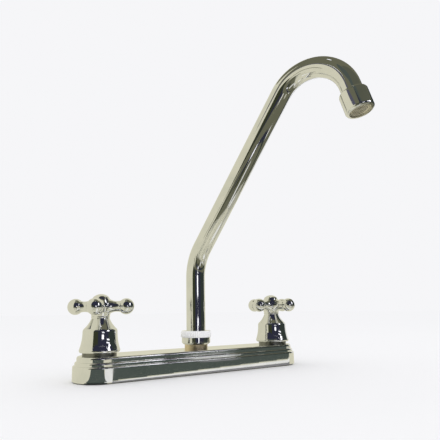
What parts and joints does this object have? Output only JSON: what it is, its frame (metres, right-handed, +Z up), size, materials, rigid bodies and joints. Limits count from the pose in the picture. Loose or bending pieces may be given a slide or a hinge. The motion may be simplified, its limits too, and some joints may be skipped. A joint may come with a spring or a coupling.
{
  "type": "mixer tap",
  "caption": "Deck-mounted mixer tap with a stepped base plate, a swivelling hooked tube spout and cross handles on bell skirts.",
  "frame": {"origin": "on the deck under the gasket, on the spout's swivel axis midway between the handles", "axes": "+X along the plate towards the cold handle, -Y towards the user, +Z up"},
  "size_m": [0.2584, 0.2123, 0.3381],
  "materials": {
    "chrome": "polished chrome plate",
    "brass": "bare machined brass",
    "copper": "bare copper tube",
    "steel": "zinc-plated steel",
    "rubber": "moulded rubber",
    "ceramic": "lapped ceramic",
    "nylon": "moulded nylon"
  },
  "bodies": {
    "fixed_body": {"deck_plate": "chrome", "deck_gasket": "rubber", "spout_hub": "brass", "spout_nut": "chrome", "hot_valve_body": "brass", "hot_crossover_tube": "copper", "hot_lock_ring": "steel", "hot_deck_washer": "steel", "hot_clamp_nut": "brass", "hot_seat_seal": "rubber", "hot_fixed_disc": "ceramic", "hot_cartridge_body": "brass", "cold_valve_body": "brass", "cold_crossover_tube": "copper", "cold_lock_ring": "steel", "cold_deck_washer": "steel", "cold_clamp_nut": "brass", "cold_seat_seal": "rubber", "cold_fixed_disc": "ceramic", "cold_cartridge_body": "brass"},
    "spout": {"spout_tube": "chrome", "spout_spigot": "brass", "spout_o_rings": "rubber", "spout_slip_ring": "nylon", "aerator_housing": "chrome", "aerator_washer": "rubber", "aerator_screen": "brass"},
    "hot_handle": {"hot_cross_handle": "chrome", "hot_bell_skirt": "chrome", "hot_index_cap": "chrome", "hot_handle_screw": "steel", "hot_valve_stem": "brass", "hot_moving_disc": "ceramic", "hot_stem_o_ring": "rubber", "hot_stem_clip": "steel"},
    "cold_handle": {"cold_cross_handle": "chrome", "cold_bell_skirt": "chrome", "cold_index_cap": "chrome", "cold_handle_screw": "steel", "cold_valve_stem": "brass", "cold_moving_disc": "ceramic", "cold_stem_o_ring": "rubber", "cold_stem_clip": "steel"}
  },
  "joints": [
    {"name": "spout_swivel", "type": "hinge", "parent": "fixed_body", "child": "spout", "pos_m": [0, 0, 0.03], "axis": [0, 0, 1], "continuous": true},
    {"name": "hot_handle_turn", "type": "hinge", "parent": "fixed_body", "child": "hot_handle", "pos_m": [-0.1016, 0, 0.05], "axis": [0, 0, 1], "range_deg": [0, 90]},
    {"name": "cold_handle_turn", "type": "hinge", "parent": "fixed_body", "child": "cold_handle", "pos_m": [0.1016, 0, 0.05], "axis": [0, 0, 1], "range_deg": [-90, 0]}
  ]
}
